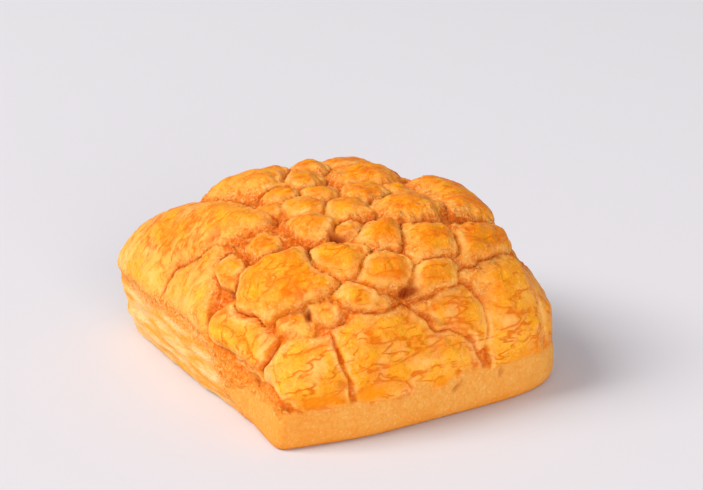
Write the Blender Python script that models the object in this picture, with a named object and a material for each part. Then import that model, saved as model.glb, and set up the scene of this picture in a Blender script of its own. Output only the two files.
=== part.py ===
"""Pineapple bun: one corner bun of a pull-apart tray, a soft loaf under a cracked sugar-cookie crust.

The form is worked out on a square "sheet" laid over the loaf: u and v run from -80 to 80 along the
surface, 0,0 is the crown, -v is the front, -u is the left, and the edge of the sheet is the foot.
Two sides, front and right, are baked crust; left and back are the torn faces where neighbours were.
All lengths are in millimetres until the mesh is made.
"""

import bpy
import numpy as np

# The loaf
HALF_X, HALF_Y, HEIGHT = 52.0, 57.5, 52.0
CROWN_X, CROWN_Y = 2.6, -1.4  # where the crown sits off the middle
SHEET = 80.0
# Each kind of side: height of its widest line, draw-in of the foot, and how full the curves are
CRUST = dict(belt=3.9, inset=2.6, shoulder=4.64, crown=1.61, foot=2.0, corner=4.2)
TORN = dict(belt=22.3, inset=7.6, shoulder=3.69, crown=1.41, foot=2.36, corner=7.66)
ROUND_CROWN, SQUARING = 2.0, 4.8
# The near corner of the foot comes to a point: where it is, how each side leans to it, and its sharpness
POINT_X, POINT_Y = -50.0, -52.0
LEFT_LEAN, FRONT_LEAN, SHARPNESS = 0.115, 0.22, 70
# Directions in degrees about the crown where the torn sides start and end, each with its blend at the foot
TORN_FROM, TORN_TO = (61.0, 14.0), (212.5, 4.5)
TORN_BLEND = 18.0  # the blends are this much wider over the crown
# The topping and the bread under it
RIM = -2.0  # the edge of a plate, against the smooth loaf
CRACK_DEPTH, CRACK_WIDTH = 0.9, 1.25
BREAD = -2.2
WIDE = 9.0  # wider plates are flat in the middle
GROW = 2.4  # plates spread this far over the sizes below, until they meet
PILLOW = 0.8  # the plates round off over this distance
BAND, BAND_LIP = 68.5, 1.4  # the sheet line where the topping ends, and how far its lip runs out
BAND_LEVEL = -0.5  # the plain band, against the smooth loaf
RAGGED = 0.9  # how far a plate's edge wanders
# The large plates: rise, then the corners of the outline on the sheet
LARGE_PLATES = (
    # front row, left to right
    (1.5, (-62, -43), (-51.5, -53), (-39.5, -52.5), (-39, -60), (-41.5, -69.5), (-57, -70.5), (-66, -61)),
    (1.5, (-37.5, -52), (-29, -49), (-12, -49.5), (-1, -56), (8, -57.5), (14, -66), (13, -70), (-35.5, -70)),
    (1.8, (-6, -50), (2, -46.5), (10, -47), (16, -53), (17, -58), (15, -61.5), (10, -59), (0, -56)),
    (2.5, (9.5, -43.5), (24, -42), (42, -45), (50, -53), (52.5, -62), (51, -72), (21, -69), (18, -53)),
    # the dome
    (3.2, (-43, -14), (-35.5, -16), (-32, -25), (-31.5, -42), (-46, -47.5), (-50.5, -38), (-50.5, -23)),
    # the left flank: the long wing and the flap in front of it
    (2.5, (-66, 58), (-40, 56), (-34, 30), (-25, 5), (-24, -1), (-29, -5.5), (-43, 4), (-50, 14), (-66, 20)),
    (2.2, (-66, 14), (-51, 11.5), (-45, 5), (-39, 3), (-38.5, -2), (-45, -6), (-54, -12), (-66, -18)),
    # the right of the crown
    (2.6, (17, 0), (27, 4), (38, -4), (42, -16), (41, -27), (33, -31), (21.5, -28), (22, -16)),
    (2.4, (17, -31), (40, -29), (45, -38), (44, -43), (25, -42), (13, -42), (10, -40), (12, -34)),
)
# The other plates: u, v, half size along u and along v, turn in degrees, rise, and how crumbly
PLATES = (
    # second row
    (-56.5, -30, 6.2, 13, 0, 2.6, 0),
    (-49.5, -46, 3.6, 6, 0, 1.2, 0.8),
    (-39.5, -47.5, 5.5, 3.6, 0, 1.2, 0.9),
    (-26, -35.5, 8.5, 6, 0, 3.0, 0),
    (-24, -44.8, 7.8, 4.2, 0, 2.4, 0.3),
    (-13.5, -39, 8.2, 6.4, 0, 2.6, 0.1),
    (1, -42, 7.5, 5.2, 0, 2.4, 0.1),
    # third row
    (-9, -28.5, 6, 6, 0, 3.0, 0),
    (4, -33.5, 9, 7.3, 0, 3.0, 0),
    # round the crown
    (8, -18.5, 11, 8.5, -12, 2.8, 0),
    (-11, -14.5, 7.5, 6, 20, 2.6, 0),
    (4, -2, 7, 7.5, 0, 2.2, 0),
    (-8, 3, 6, 5.5, 0, 2.0, 0),
    (-16, -5, 6, 8, 0, 2.4, 0),
    (-17, 7, 5, 6, 0, 2.0, 0),
    (-23, 2, 4, 4, 0, 1.4, 0.4),
    (-24, -17.5, 6, 8.5, 0, 2.6, 0),
    (-18, -25, 5.5, 3.6, 0, 1.4, 0.9),
    (-5.5, 15, 7, 6, 0, 2.4, 0),
    (2, 23, 8, 7, 0, 3.0, 0),
    (-9, 27, 8, 6, 0, 2.8, 0),
    (15.5, 14, 10, 11, 30, 2.6, 0),
    (13, -4, 4, 5.5, 0, 1.6, 0.2),
    # left flank, back to front
    (-22, 26, 10, 14, 0, 3.4, 0),
    (-43.5, -9.5, 3.6, 6.5, 0, 2.2, 0.1),
    (-33, -11, 6.5, 8, 0, 1.2, 1),
)
# The plates of the far side stand in rows: sheet line, spacing, half size across and along, rise
FAR_ROWS = ((60, 23, 10.5, 14, 1.5), (43, 19, 10, 11.5, 2.3), (27, 16, 9, 9.5, 2.3), (12, 14, 8, 8, 2.3))
# Where the topping broke away and the bread shows: u, v, half size along u and along v
BARE = (
    (-33, -11, 9, 10),
    (-33, -49, 5, 4),
    (-50, -15, 4, 5),
    (-68, -44, 7, 15),
    (-46, -50, 6, 5),
    (17, -25, 3, 6),
    (-18, -26, 5, 2.5),
)

CELLS = 230  # squares along the sheet before the mesh is thinned
TRIANGLES = 11600
UNDERSIDE = 5.0  # the foot turns under by this much
FLAT_FOOT = 0.05  # points of the foot lower than this lie flat on the floor
MILLIMETRE = 0.001


def smooth(x, start, end):
    t = np.clip((x - start) / (end - start), 0, 1)
    return t * t * (3 - 2 * t)


def noise(points, size, seed):
    """A smooth random field between -1 and 1 with lumps about `size` across."""
    table = np.random.default_rng(seed).uniform(-1, 1, (24, 24, 24))
    turned = points @ np.array([[0.36, 0.48, -0.8], [-0.8, 0.6, 0.0], [0.48, 0.64, 0.6]])
    at = turned / size + 100.0
    cell = np.floor(at).astype(int)
    t = at - cell
    t = t * t * (3 - 2 * t)
    total = 0.0
    for dx in (0, 1):
        for dy in (0, 1):
            for dz in (0, 1):
                share = (
                    (t[..., 0] if dx else 1 - t[..., 0])
                    * (t[..., 1] if dy else 1 - t[..., 1])
                    * (t[..., 2] if dz else 1 - t[..., 2])
                )
                corner = (cell + (dx, dy, dz)) % len(table)
                total = total + share * table[corner[..., 0], corner[..., 1], corner[..., 2]]
    return total


def torn_share(turn, ring):
    degrees = np.degrees(turn) % 360
    wider = TORN_BLEND * (1 - smooth(ring, 0.55, 0.9))
    (start, first), (end, last) = TORN_FROM, TORN_TO
    begun = smooth((degrees - start) / (first + wider), -1, 1)
    ended = smooth((degrees - end) / (last + wider), -1, 1)
    return begun * (1 - ended)


def profile(side, count=400):
    """From the crown to the foot in equal steps along the curve: reach, height, draw-in and lean."""
    t = np.linspace(0, np.pi / 2, 3000)
    under = np.linspace(0, np.pi / 2, 600)[1:]
    lean = np.cos(t) ** (2 / side["crown"])
    reach = np.r_[np.sin(t) ** (2 / side["shoulder"]), np.ones(len(under))]
    height = np.r_[
        side["belt"] + (HEIGHT - side["belt"]) * lean,
        side["belt"] * (1 - np.sin(under) ** (2 / side["foot"])),
    ]
    drawn = np.r_[np.zeros(len(t)), 1 - np.cos(under) ** (2 / side["foot"])]
    lean = np.r_[lean, np.zeros(len(under))]
    out = reach * (HALF_X + HALF_Y) / 2 - side["inset"] * drawn
    length = np.r_[0, np.cumsum(np.hypot(np.diff(out), np.diff(height)))]
    steps = np.linspace(0, length[-1], count)
    return [np.interp(steps, length, curve) for curve in (reach, height, drawn, lean)]


CRUST_CURVE, TORN_CURVE = profile(CRUST), profile(TORN)


def rounded_box(turn, power):
    reach = np.abs(np.cos(turn) / HALF_X) ** power + np.abs(np.sin(turn) / HALF_Y) ** power
    return reach ** (-1 / power)


def near_point(turn):
    """The outline of the near corner: two leaning sides that meet in a point."""
    cos, sin = np.cos(turn), np.sin(turn)
    left = (POINT_X - LEFT_LEAN * POINT_Y) / np.minimum(cos - LEFT_LEAN * sin, -0.2)
    front = (POINT_Y + FRONT_LEAN * POINT_X) / np.minimum(sin + FRONT_LEAN * cos, -0.2)
    return (left**-SHARPNESS + front**-SHARPNESS + rounded_box(turn, 9.0) ** -SHARPNESS) ** (-1 / SHARPNESS)


def loaf(u, v):
    """The smooth loaf: the point under each place of the sheet."""
    u, v = np.asarray(u, float) / SHEET, np.asarray(v, float) / SHEET
    ring = np.maximum(np.abs(u), np.abs(v))
    turn = np.arctan2(v * HALF_Y, u * HALF_X)
    torn = torn_share(turn, ring)
    steps = np.linspace(0, 1, len(CRUST_CURVE[0]))
    reach, height, drawn, lean = (
        np.interp(ring, steps, crust) * (1 - torn) + np.interp(ring, steps, pulled) * torn
        for crust, pulled in zip(CRUST_CURVE, TORN_CURVE)
    )
    corner = CRUST["corner"] * (1 - torn) + TORN["corner"] * torn
    power = ROUND_CROWN + (corner - ROUND_CROWN) * reach**SQUARING
    across = rounded_box(turn, power)
    away = np.degrees(np.arccos(np.clip(np.cos(turn - np.arctan2(POINT_Y, POINT_X)), -1, 1)))
    pointed = (1 - smooth(away, 24, 46)) * smooth(reach, 0.9, 1.0) * (1 - torn)
    across = across * (1 - pointed) + near_point(turn) * pointed
    out = reach * across - (CRUST["inset"] * (1 - torn) + TORN["inset"] * torn) * drawn
    return np.stack([out * np.cos(turn) + CROWN_X * lean, out * np.sin(turn) + CROWN_Y * lean, height], -1)


def normals(u, v, step=0.3):
    along_u = loaf(u + step, v) - loaf(u - step, v)
    along_v = loaf(u, v + step) - loaf(u, v - step)
    normal = np.cross(along_u, along_v)
    return normal / np.linalg.norm(normal, axis=-1, keepdims=True)


def tangents(u, v, degrees, step=0.3):
    """The point of the loaf at u, v and two directions along it there, turned by an angle."""
    middle = loaf(u, v)
    normal = normals(np.array([u]), np.array([v]))[0]
    first = loaf(u + step, v) - loaf(u - step, v)
    first /= np.linalg.norm(first)
    second = np.cross(normal, first)
    c, s = np.cos(np.radians(degrees)), np.sin(np.radians(degrees))
    return middle, first * c + second * s, second * c - first * s


def spread(points, middle, first, second):
    """Points as distances along two directions from a middle, measured over the curve of the loaf."""
    away = points - middle
    a, b = away @ first, away @ second
    stretch = np.linalg.norm(away, axis=-1) / (np.hypot(a, b) + 1e-9)
    return a * stretch, b * stretch


def inside(points, shape, power=3):
    """How far inside a shape each point is, in millimetres; negative outside it."""
    if isinstance(shape[0], tuple):
        return inside_outline(points, shape)
    u, v, half_u, half_v, degrees = shape
    a, b = spread(points, *tangents(float(u), float(v), degrees))
    reach = (np.abs(a / half_u) ** power + np.abs(b / half_v) ** power) ** (1 / power)
    return (1 - reach) * min(half_u, half_v)


def inside_outline(points, corners):
    sheet = np.array(corners, float)
    plane = tangents(*sheet.mean(axis=0), 0)
    a, b = spread(points, *plane)
    ends = np.stack(spread(loaf(*sheet.T), *plane), -1)
    nearest, within = np.full(a.shape, 99.0), np.zeros(a.shape, bool)
    for (a0, b0), (a1, b1) in zip(ends, np.roll(ends, -1, axis=0)):
        along_a, along_b = a1 - a0, b1 - b0
        share = (((a - a0) * along_a + (b - b0) * along_b) / (along_a**2 + along_b**2)).clip(0, 1)
        nearest = np.minimum(nearest, np.hypot(a - a0 - share * along_a, b - b0 - share * along_b))
        within ^= ((b0 > b) != (b1 > b)) & (a < a0 + (b - b0) * along_a / (along_b + 1e-9))
    return np.where(within, nearest, -nearest)


def all_plates():
    """Every plate: shape, half its smaller width, rise, how crumbly. Those of the far side stand in rows."""
    found = []
    for rise, *corners in LARGE_PLATES:
        middle = loaf(*np.mean(corners, axis=0))[None]
        found.append((tuple(corners), float(inside(middle, tuple(corners))[0]), rise, 0))
    for *shape, rise, crumbly in PLATES:
        found.append((tuple(shape), min(shape[2:4]), rise, crumbly))
    draw = np.random.default_rng(11)
    for line, spacing, across, along, rise in FAR_ROWS:
        count = int(2 * line / spacing)
        for k in range(4 * count):
            side, place = divmod(k, count)
            run = (place + 0.5) / count * 2 * line - line + draw.uniform(-4, 4)
            row = line + draw.uniform(-3, 3)
            u, v = ((row, run), (-run, row), (-row, -run), (run, -row))[side]
            size = draw.uniform(0.78, 1.2)
            half_u, half_v = (across, along) if side % 2 == 0 else (along, across)
            shape = (u, v, half_u * size, half_v * size, draw.uniform(-30, 30))
            lift = rise * draw.uniform(0.8, 1.2)
            clear = max(inside(loaf(u, v)[None], other[0])[0] for other in found) < -0.3 * across
            if u + v >= 8 and clear:
                found.append((shape, min(half_u, half_v) * size, lift, 0))
    return found


def torn_line(turn):
    """The sheet line where the crust stops and the torn face starts, which runs to the foot at both ends."""
    degrees = np.degrees(turn) % 360
    near = smooth(degrees, 190, 217) ** 1.4 * 22
    far = (1 - smooth(degrees, 52, 78)) ** 1.4 * 22
    return 58.5 + near + far


def relief(u, v, points):
    """How far the surface stands off the smooth loaf."""
    ring = np.maximum(np.abs(u), np.abs(v))
    turn = np.arctan2(v * HALF_Y, u * HALF_X)
    wander = np.stack([noise(points, 9, 11 + k) + noise(points, 4, 14 + k) * 0.8 for k in range(3)], -1)
    jag = [noise(points, 4.5, 21 + k) + 0.6 * noise(points, 2.0, 31 + k) for k in range(3)]
    puffy = 1 - smooth(ring, 42, 60)
    best = np.full(u.shape, -99.0)
    second = np.full(u.shape, -99.0)
    rise, crumbly, half = (np.zeros(u.shape) for _ in range(3))
    for k, (shape, narrow, lift, crumbs_on) in enumerate(all_plates()):
        edge = inside(points + wander * (1 - 0.2 * puffy)[:, None], shape)
        mix = np.cos(k * 1.9), np.sin(k * 1.9), np.cos(k * 3.1 + 1)
        edge = edge + RAGGED * (mix[0] * jag[0] + mix[1] * jag[1] + mix[2] * jag[2]) * 0.6
        wins = edge > best
        second = np.where(wins, best, np.maximum(second, edge))
        best = np.where(wins, edge, best)
        rise = np.where(wins, lift, rise)
        crumbly = np.where(wins, crumbs_on, crumbly)
        half = np.where(wins, min(narrow, WIDE), half)
    merged = smooth(-u, 26, 38) * smooth(v, -14, 4)
    bare_patch = np.zeros(u.shape)
    for patch in BARE:
        bare_patch = np.maximum(bare_patch, smooth(inside(points + 2 * wander, (*patch, 0), 2), -2.5, 2.5))
    grow = GROW * (1 - bare_patch) * (1 - 0.6 * smooth(ring, 58, 66))
    crack = CRACK_WIDTH * (0.75 + noise(points, 12, 41) + 0.5 * noise(points, 5, 42)) * (1 - 0.8 * puffy)
    edge = np.minimum(best + grow, (best - second - crack) / 2)
    low_side = smooth(ring, 52, 66)
    rise = rise * (1 - 0.45 * smooth(ring, 60, 68)) * (1 + 0.55 * puffy)
    rim = (RIM - 1.8 * puffy) * (1 - 0.6 * low_side)
    pillow = 1 - (1 - np.clip(edge / PILLOW, 0, 1)) ** 2
    up = np.clip((best + grow) / (half + grow), 0, 1)
    dome = 1 - (1 - up) ** 2
    lumps = 0.5 * noise(points, 5.0, 64) * (1 - 0.5 * smooth(half, 7, 10))
    knobs = np.abs(noise(points, 3.2, 66)) - 0.4
    slope = (1 - smooth(up, 0.15, 0.7)) * smooth(edge, 0, 1.0) * (0.35 + 0.65 * puffy)
    soft_rim = pillow + (dome - pillow) * 0.8 * puffy
    plates = rim + rise * (0.2 * soft_rim + 1.1 * dome) + lumps * smooth(edge, 0, 3) + 1.1 * knobs * slope
    grain = np.abs(noise(points, 2.6, 51)) + np.abs(noise(points, 4.5, 52)) - 0.7
    bare = (BREAD - 1.3 * puffy) * (1 - 0.55 * low_side) + 0.9 * grain
    bottom = rim - CRACK_DEPTH * (1 - 0.8 * puffy) * (1 - 0.5 * low_side)
    floor = bottom + (bare - bottom) * smooth(-edge, 0.8, 2.5)
    low = floor + (plates - floor) * 0.8 * merged
    height = low + (plates + crumbly * 0.6 * grain - low) * smooth(edge, -0.9, 0.7)
    height = height + 0.5 * noise(points, 24, 61) + 0.35 * noise(points, 7, 63)
    band = smooth(ring + 1.7 * noise(points, 7, 62), BAND, BAND + BAND_LIP)
    height = height * (1 - band) + BAND_LEVEL * band
    below = ring - torn_line(turn) + 1.5 * noise(points, 9, 71)
    torn = torn_share(turn, ring / SHEET) * smooth(below, -2.5, 1.5)
    strands = noise(points / np.array([1.0, 6.0, 1.0]), 3.0, 72) * 0.8
    folds = noise(points / np.array([1.0, 3.0, 1.0]), 8.0, 73) * 0.9
    height = height * (1 - torn) + (strands + folds - 0.4) * torn
    return height * (1 - smooth(ring, 75.5, 79.5))


def foot_lift(u, v):
    """The torn foot is ragged and stands a little clear of the ground in places."""
    turn = np.arctan2(v * HALF_Y, u * HALF_X)
    points = loaf(u, v)
    return torn_share(turn, 1.0) * (0.6 + 1.2 * (noise(points, 11, 81) + 0.3).clip(0, 1))


def sheet_rings(cells):
    """Numbers of the sheet's border vertices, once round it."""
    side = cells + 1
    number = np.arange(side * side).reshape(side, side)
    return np.r_[number[:-1, 0], number[-1, :-1], number[:0:-1, -1], number[0, :0:-1]]


def skin(cells):
    """The loaf with its relief as one closed mesh."""
    line = np.linspace(-SHEET, SHEET, cells + 1)
    u, v = (grid.ravel() for grid in np.meshgrid(line, line, indexing="ij"))
    points = loaf(u, v)
    safe_u, safe_v = u.clip(-SHEET + 0.4, SHEET - 0.4), v.clip(-SHEET + 0.4, SHEET - 0.4)
    points = points + normals(safe_u, safe_v) * relief(u, v, points)[:, None]
    number = np.arange((cells + 1) ** 2).reshape(cells + 1, cells + 1)
    faces = np.stack([number[:-1, :-1], number[1:, :-1], number[1:, 1:], number[:-1, 1:]], -1).reshape(-1, 4)
    border = sheet_rings(cells)
    points[border, 2] = foot_lift(u[border], v[border])
    rings = [border]
    middle = points[border].mean(axis=0) * (1, 1, 0)
    reach = points[border] * (1, 1, 0) - middle
    length = np.linalg.norm(reach, axis=1, keepdims=True)
    for inner in (1 - UNDERSIDE / length, 0.7, 0.4):
        rings.append(np.arange(len(border)) + len(points))
        points = np.r_[points, middle + reach * inner]
    tip = len(points)
    points = np.r_[points, middle[None]]
    fans = []
    for outer, inner in zip(rings[:-1], rings[1:]):
        fans.append(np.stack([outer, inner, np.roll(inner, -1), np.roll(outer, -1)], -1))
    last = rings[-1]
    caps = np.stack([last, np.full(len(last), tip), np.roll(last, -1)], -1)
    return points, [f.tolist() for f in (faces, *fans, caps)]


def thinned(name, points, faces, triangles):
    """The mesh with its triangles kept where the crust bends most."""
    mesh = bpy.data.meshes.new(name)
    mesh.from_pydata(points.tolist(), [], [face for group in faces for face in group])
    fine = bpy.data.objects.new(name, mesh)
    bpy.context.collection.objects.link(fine)
    mesh.calc_loop_triangles()
    thin = fine.modifiers.new("thin", "DECIMATE")
    thin.ratio = triangles / len(mesh.loop_triangles)
    thin.use_collapse_triangulate = True
    result = bpy.data.meshes.new_from_object(fine.evaluated_get(bpy.context.evaluated_depsgraph_get()))
    bpy.data.objects.remove(fine)
    return result


def set_down(mesh):
    """Moves the mesh over the middle of the floor, with its foot flat on it, and takes it to metres."""
    corners = np.empty(len(mesh.vertices) * 3)
    mesh.vertices.foreach_get("co", corners)
    corners = corners.reshape(-1, 3)
    corners[corners[:, 2] < FLAT_FOOT, 2] = 0.0
    corners[:, :2] -= (corners[:, :2].max(axis=0) + corners[:, :2].min(axis=0)) / 2
    mesh.vertices.foreach_set("co", (corners * MILLIMETRE).ravel())
    mesh.update()


def baked_crust():
    material = bpy.data.materials.new("baked_crust")
    material.use_nodes = True
    shader = material.node_tree.nodes["Principled BSDF"]
    shader.inputs["Base Color"].default_value = (0.93, 0.34, 0.04, 1)
    shader.inputs["Roughness"].default_value = 0.55
    shader.inputs["Metallic"].default_value = 0.0
    return material


for old in list(bpy.data.objects):
    bpy.data.objects.remove(old)

mesh = thinned("bun", *skin(CELLS), TRIANGLES)
set_down(mesh)
mesh.shade_smooth()
mesh.materials.append(baked_crust())
bun = bpy.data.objects.new("bun", mesh)
bpy.context.collection.objects.link(bun)
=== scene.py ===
"""Looks of the pineapple bun: its cracked sugar-cookie crust, plain baked band and torn faces.

The bun is modelled on a square "sheet" laid over the loaf: u and v run from -80 to 80 along the
surface, 0,0 is the crown, -v is the front, -u is the left, and the edge of the sheet is the foot.
Two sides, front and right, are baked crust; left and back are the torn faces where neighbours were.
The bun's lengths are in millimetres until its mesh is made, and the studio's are in metres.
"""

import math

import bpy
import numpy as np
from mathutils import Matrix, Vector


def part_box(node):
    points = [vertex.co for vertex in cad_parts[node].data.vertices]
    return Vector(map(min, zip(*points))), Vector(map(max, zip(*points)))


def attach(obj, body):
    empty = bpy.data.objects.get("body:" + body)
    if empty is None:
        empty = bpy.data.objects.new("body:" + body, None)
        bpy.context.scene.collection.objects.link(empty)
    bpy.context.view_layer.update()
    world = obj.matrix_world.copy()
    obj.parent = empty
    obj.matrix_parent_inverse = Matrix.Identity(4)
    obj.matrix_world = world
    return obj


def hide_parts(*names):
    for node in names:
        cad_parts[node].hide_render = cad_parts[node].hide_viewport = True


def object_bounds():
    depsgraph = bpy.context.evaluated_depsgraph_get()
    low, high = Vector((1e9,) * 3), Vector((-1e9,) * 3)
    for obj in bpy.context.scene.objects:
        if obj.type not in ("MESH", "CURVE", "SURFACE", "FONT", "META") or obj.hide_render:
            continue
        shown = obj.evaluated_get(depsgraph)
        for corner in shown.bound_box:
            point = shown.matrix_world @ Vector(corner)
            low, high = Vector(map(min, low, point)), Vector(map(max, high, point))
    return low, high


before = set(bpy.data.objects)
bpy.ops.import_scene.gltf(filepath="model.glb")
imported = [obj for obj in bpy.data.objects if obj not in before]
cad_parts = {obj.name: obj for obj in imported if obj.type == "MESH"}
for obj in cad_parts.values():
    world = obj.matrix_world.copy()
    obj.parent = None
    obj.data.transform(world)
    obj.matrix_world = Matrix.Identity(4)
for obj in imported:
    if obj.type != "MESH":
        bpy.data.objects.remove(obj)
cad_box = [list(corner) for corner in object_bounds()]

# The smooth loaf, without its relief
HALF_X, HALF_Y, HEIGHT = 52.0, 57.5, 52.0
CROWN_X, CROWN_Y = 2.6, -1.4  # where the crown sits off the middle
SHEET = 80.0  # half the width of the sheet
# Each kind of side: height of its widest line, draw-in of the foot, and how full the curves are
CRUST = dict(belt=3.9, inset=2.6, shoulder=4.64, crown=1.61, foot=2.0, corner=4.2)
TORN = dict(belt=22.3, inset=7.6, shoulder=3.69, crown=1.41, foot=2.36, corner=7.66)
ROUND_CROWN, SQUARING = 2.0, 4.8  # the outline's power at the crown, and how late outwards it turns square
# The near corner of the foot comes to a point: where it is, how each side leans to it, and its sharpness
POINT_X, POINT_Y = -50.0, -52.0
LEFT_LEAN, FRONT_LEAN, SHARPNESS = 0.115, 0.22, 70
POINT_TURN, POINT_REACH = (24, 46), (0.9, 1.0)  # it fades over these degrees, and shares of the reach
# Directions in degrees about the crown where the torn sides start and end, each with its blend at the foot
TORN_FROM, TORN_TO = (61.0, 14.0), (212.5, 4.5)
TORN_BLEND = 18.0  # the blends are this much wider over the crown
# The topping and the bread under it, against the smooth loaf
RIM, BREAD = -2.0, -2.2  # the edge of a plate, and the bread where no plate lies
CRACK_DEPTH, CRACK_WIDTH = 0.9, 1.25
WIDE = 9.0  # plates whose half width is more than this are flat in the middle
GROW = 2.4  # plates spread this far over the sizes below, until they meet
PILLOW = 0.8  # the plates round off over this distance
BAND, BAND_LIP = 68.5, 1.4  # the sheet line where the topping ends, and how far its lip runs out
BAND_LEVEL = -0.5
RAGGED = 0.54  # how far a plate's edge strays
# Sheet lines: where the crown's puffy bumps give way to flat plates, where these thin towards the band,
# and where all relief fades out at the foot
PUFFY_ENDS, THINNING, FOOT_FADE = (42, 60), (52, 66), (75.5, 79.5)
# How much less the plates near the band spread and rise, and how much shallower their edges, bread and
# cracks are
THIN_GROW, THIN_RISE, THIN_RIM, THIN_BREAD, THIN_CRACKS = 0.6, 0.45, 0.6, 0.55, 0.5
# The puffy crown has more rise, edges and bread that lie deeper, and shallow narrow cracks
PUFFY_RISE, PUFFY_RIM, PUFFY_BREAD, PUFFY_CRACKS = 0.55, 1.8, 1.3, 0.8
# The left flank, where plates merge and creases run long: lines out from the crown, and from the front
FLANK_MERGED, FLANK_CREASED, FLANK_FRONT = (26, 38), (28, 40), (-14, 4)
CREASE_DEPTH = 0.22
# The sheet line where the crust stops over a torn side, and how far it drops to the foot at the side's ends
TORN_LINE, TORN_DROP, TORN_DROP_CURVE = 58.5, 22, 1.4
TORN_SINK = 0.4  # how far the torn faces lie inside the smooth loaf
TORN_LIFT, TORN_LIFT_MORE = 0.6, 1.2  # how far the torn foot stands off the ground, and more in places
# Directions in degrees over which the torn colour runs on past the torn side's near end
SPILL_FROM, SPILL_TO = (180, 200), (211, 224)

# Random relief, as layers of share, lump size in millimetres, and seed
WANDER = ((1, 9, 11), (0.8, 4, 14))  # bends the outlines of plates and patches
JAG = ((1, 4.5, 21), (0.6, 2.0, 31))  # frays the plates' edges
FINE_JAG = ((0.35, 1.5, 37), (0.12, 0.8, 38))
CRACK_VARIES = ((1, 12, 41), (0.5, 5, 42))  # makes cracks wide and narrow
GRAIN = ((1, 2.6, 51), (1, 4.5, 52))
CRUMBS = ((0.7, 1.2, 53), (0.5, 1.9, 54))
KNOBS = ((1, 3.2, 66), (0.7, 1.6, 67))
GRAIN_MEAN, CRUMBS_MEAN, KNOBS_MEAN = 0.7, 0.4, 0.6
LUMPS = ((0.5, 5.0, 64), (0.35, 2.2, 65))
SWELL = ((0.5, 24, 61), (0.35, 7, 63))
BAND_WAVERS = ((1.7, 7, 62), (0.8, 2.5, 67))
FOOT_WAVERS = ((1.2, 6, 63),)
TORN_WAVERS = ((1.5, 9, 71),)
STRANDS, FOLDS, FIBRES = ((0.8, 3.0, 72),), ((0.9, 8.0, 73),), ((0.35, 1.2, 74), (0.2, 0.7, 75))
STRAND_STRETCH, FOLD_STRETCH = (1.0, 6.0, 1.0), (1.0, 3.0, 1.0)  # they are this much longer front to back
# Creases: spacing in millimetres, seed, and how wide they are as a share of it
WIDE_CREASES, CLOSE_CREASES, LONG_CREASES = (7.0, 91, 0.12), (4.0, 95, 0.12), (5.0, 99, 0.16)
CLOSE_SHARE = 0.7  # how deep the close creases are, against the wide ones

# The large plates: rise, then the corners of the outline on the sheet
LARGE_PLATES = (
    # front row, left to right
    (1.5, (-62, -43), (-51.5, -53), (-39.5, -52.5), (-39, -60), (-41.5, -69.5), (-57, -70.5), (-66, -61)),
    (1.5, (-37.5, -52), (-29, -49), (-12, -49.5), (-1, -56), (8, -57.5), (14, -66), (13, -70), (-35.5, -70)),
    (1.8, (-6, -50), (2, -46.5), (10, -47), (16, -53), (17, -58), (15, -61.5), (10, -59), (0, -56)),
    (2.5, (9.5, -43.5), (24, -42), (42, -45), (50, -53), (52.5, -62), (51, -72), (21, -69), (18, -53)),
    # the dome
    (3.2, (-43, -14), (-35.5, -16), (-32, -25), (-31.5, -42), (-46, -47.5), (-50.5, -38), (-50.5, -23)),
    # the left flank: the long wing and the flap in front of it
    (2.5, (-66, 58), (-40, 56), (-34, 30), (-25, 5), (-24, -1), (-29, -5.5), (-43, 4), (-50, 14), (-66, 20)),
    (2.2, (-66, 14), (-51, 11.5), (-45, 5), (-39, 3), (-38.5, -2), (-45, -6), (-54, -12), (-66, -18)),
    # the right of the crown
    (2.6, (17, 0), (27, 4), (38, -4), (42, -16), (41, -27), (33, -31), (21.5, -28), (22, -16)),
    (2.4, (17, -31), (40, -29), (45, -38), (44, -43), (25, -42), (13, -42), (10, -40), (12, -34)),
)
# The other plates: u, v, half size along u and along v, turn in degrees, rise, and how crumbly
PLATES = (
    # second row
    (-56.5, -30, 6.2, 13, 0, 2.6, 0),
    (-49.5, -46, 3.6, 6, 0, 1.2, 0.8),
    (-39.5, -47.5, 5.5, 3.6, 0, 1.2, 0.9),
    (-26, -35.5, 8.5, 6, 0, 3.0, 0),
    (-24, -44.8, 7.8, 4.2, 0, 2.4, 0.3),
    (-13.5, -39, 8.2, 6.4, 0, 2.6, 0.1),
    (1, -42, 7.5, 5.2, 0, 2.4, 0.1),
    # third row
    (-9, -28.5, 6, 6, 0, 3.0, 0),
    (4, -33.5, 9, 7.3, 0, 3.0, 0),
    # round the crown
    (8, -18.5, 11, 8.5, -12, 2.8, 0),
    (-11, -14.5, 7.5, 6, 20, 2.6, 0),
    (4, -2, 7, 7.5, 0, 2.2, 0),
    (-8, 3, 6, 5.5, 0, 2.0, 0),
    (-16, -5, 6, 8, 0, 2.4, 0),
    (-17, 7, 5, 6, 0, 2.0, 0),
    (-23, 2, 4, 4, 0, 1.4, 0.4),
    (-24, -17.5, 6, 8.5, 0, 2.6, 0),
    (-18, -25, 5.5, 3.6, 0, 1.4, 0.9),
    (-5.5, 15, 7, 6, 0, 2.4, 0),
    (2, 23, 8, 7, 0, 3.0, 0),
    (-9, 27, 8, 6, 0, 2.8, 0),
    (15.5, 14, 10, 11, 30, 2.6, 0),
    (13, -4, 4, 5.5, 0, 1.6, 0.2),
    # left flank, back to front
    (-22, 26, 10, 14, 0, 3.4, 0),
    (-43.5, -9.5, 3.6, 6.5, 0, 2.2, 0.1),
    (-33, -11, 6.5, 8, 0, 1.2, 1),
)
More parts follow.
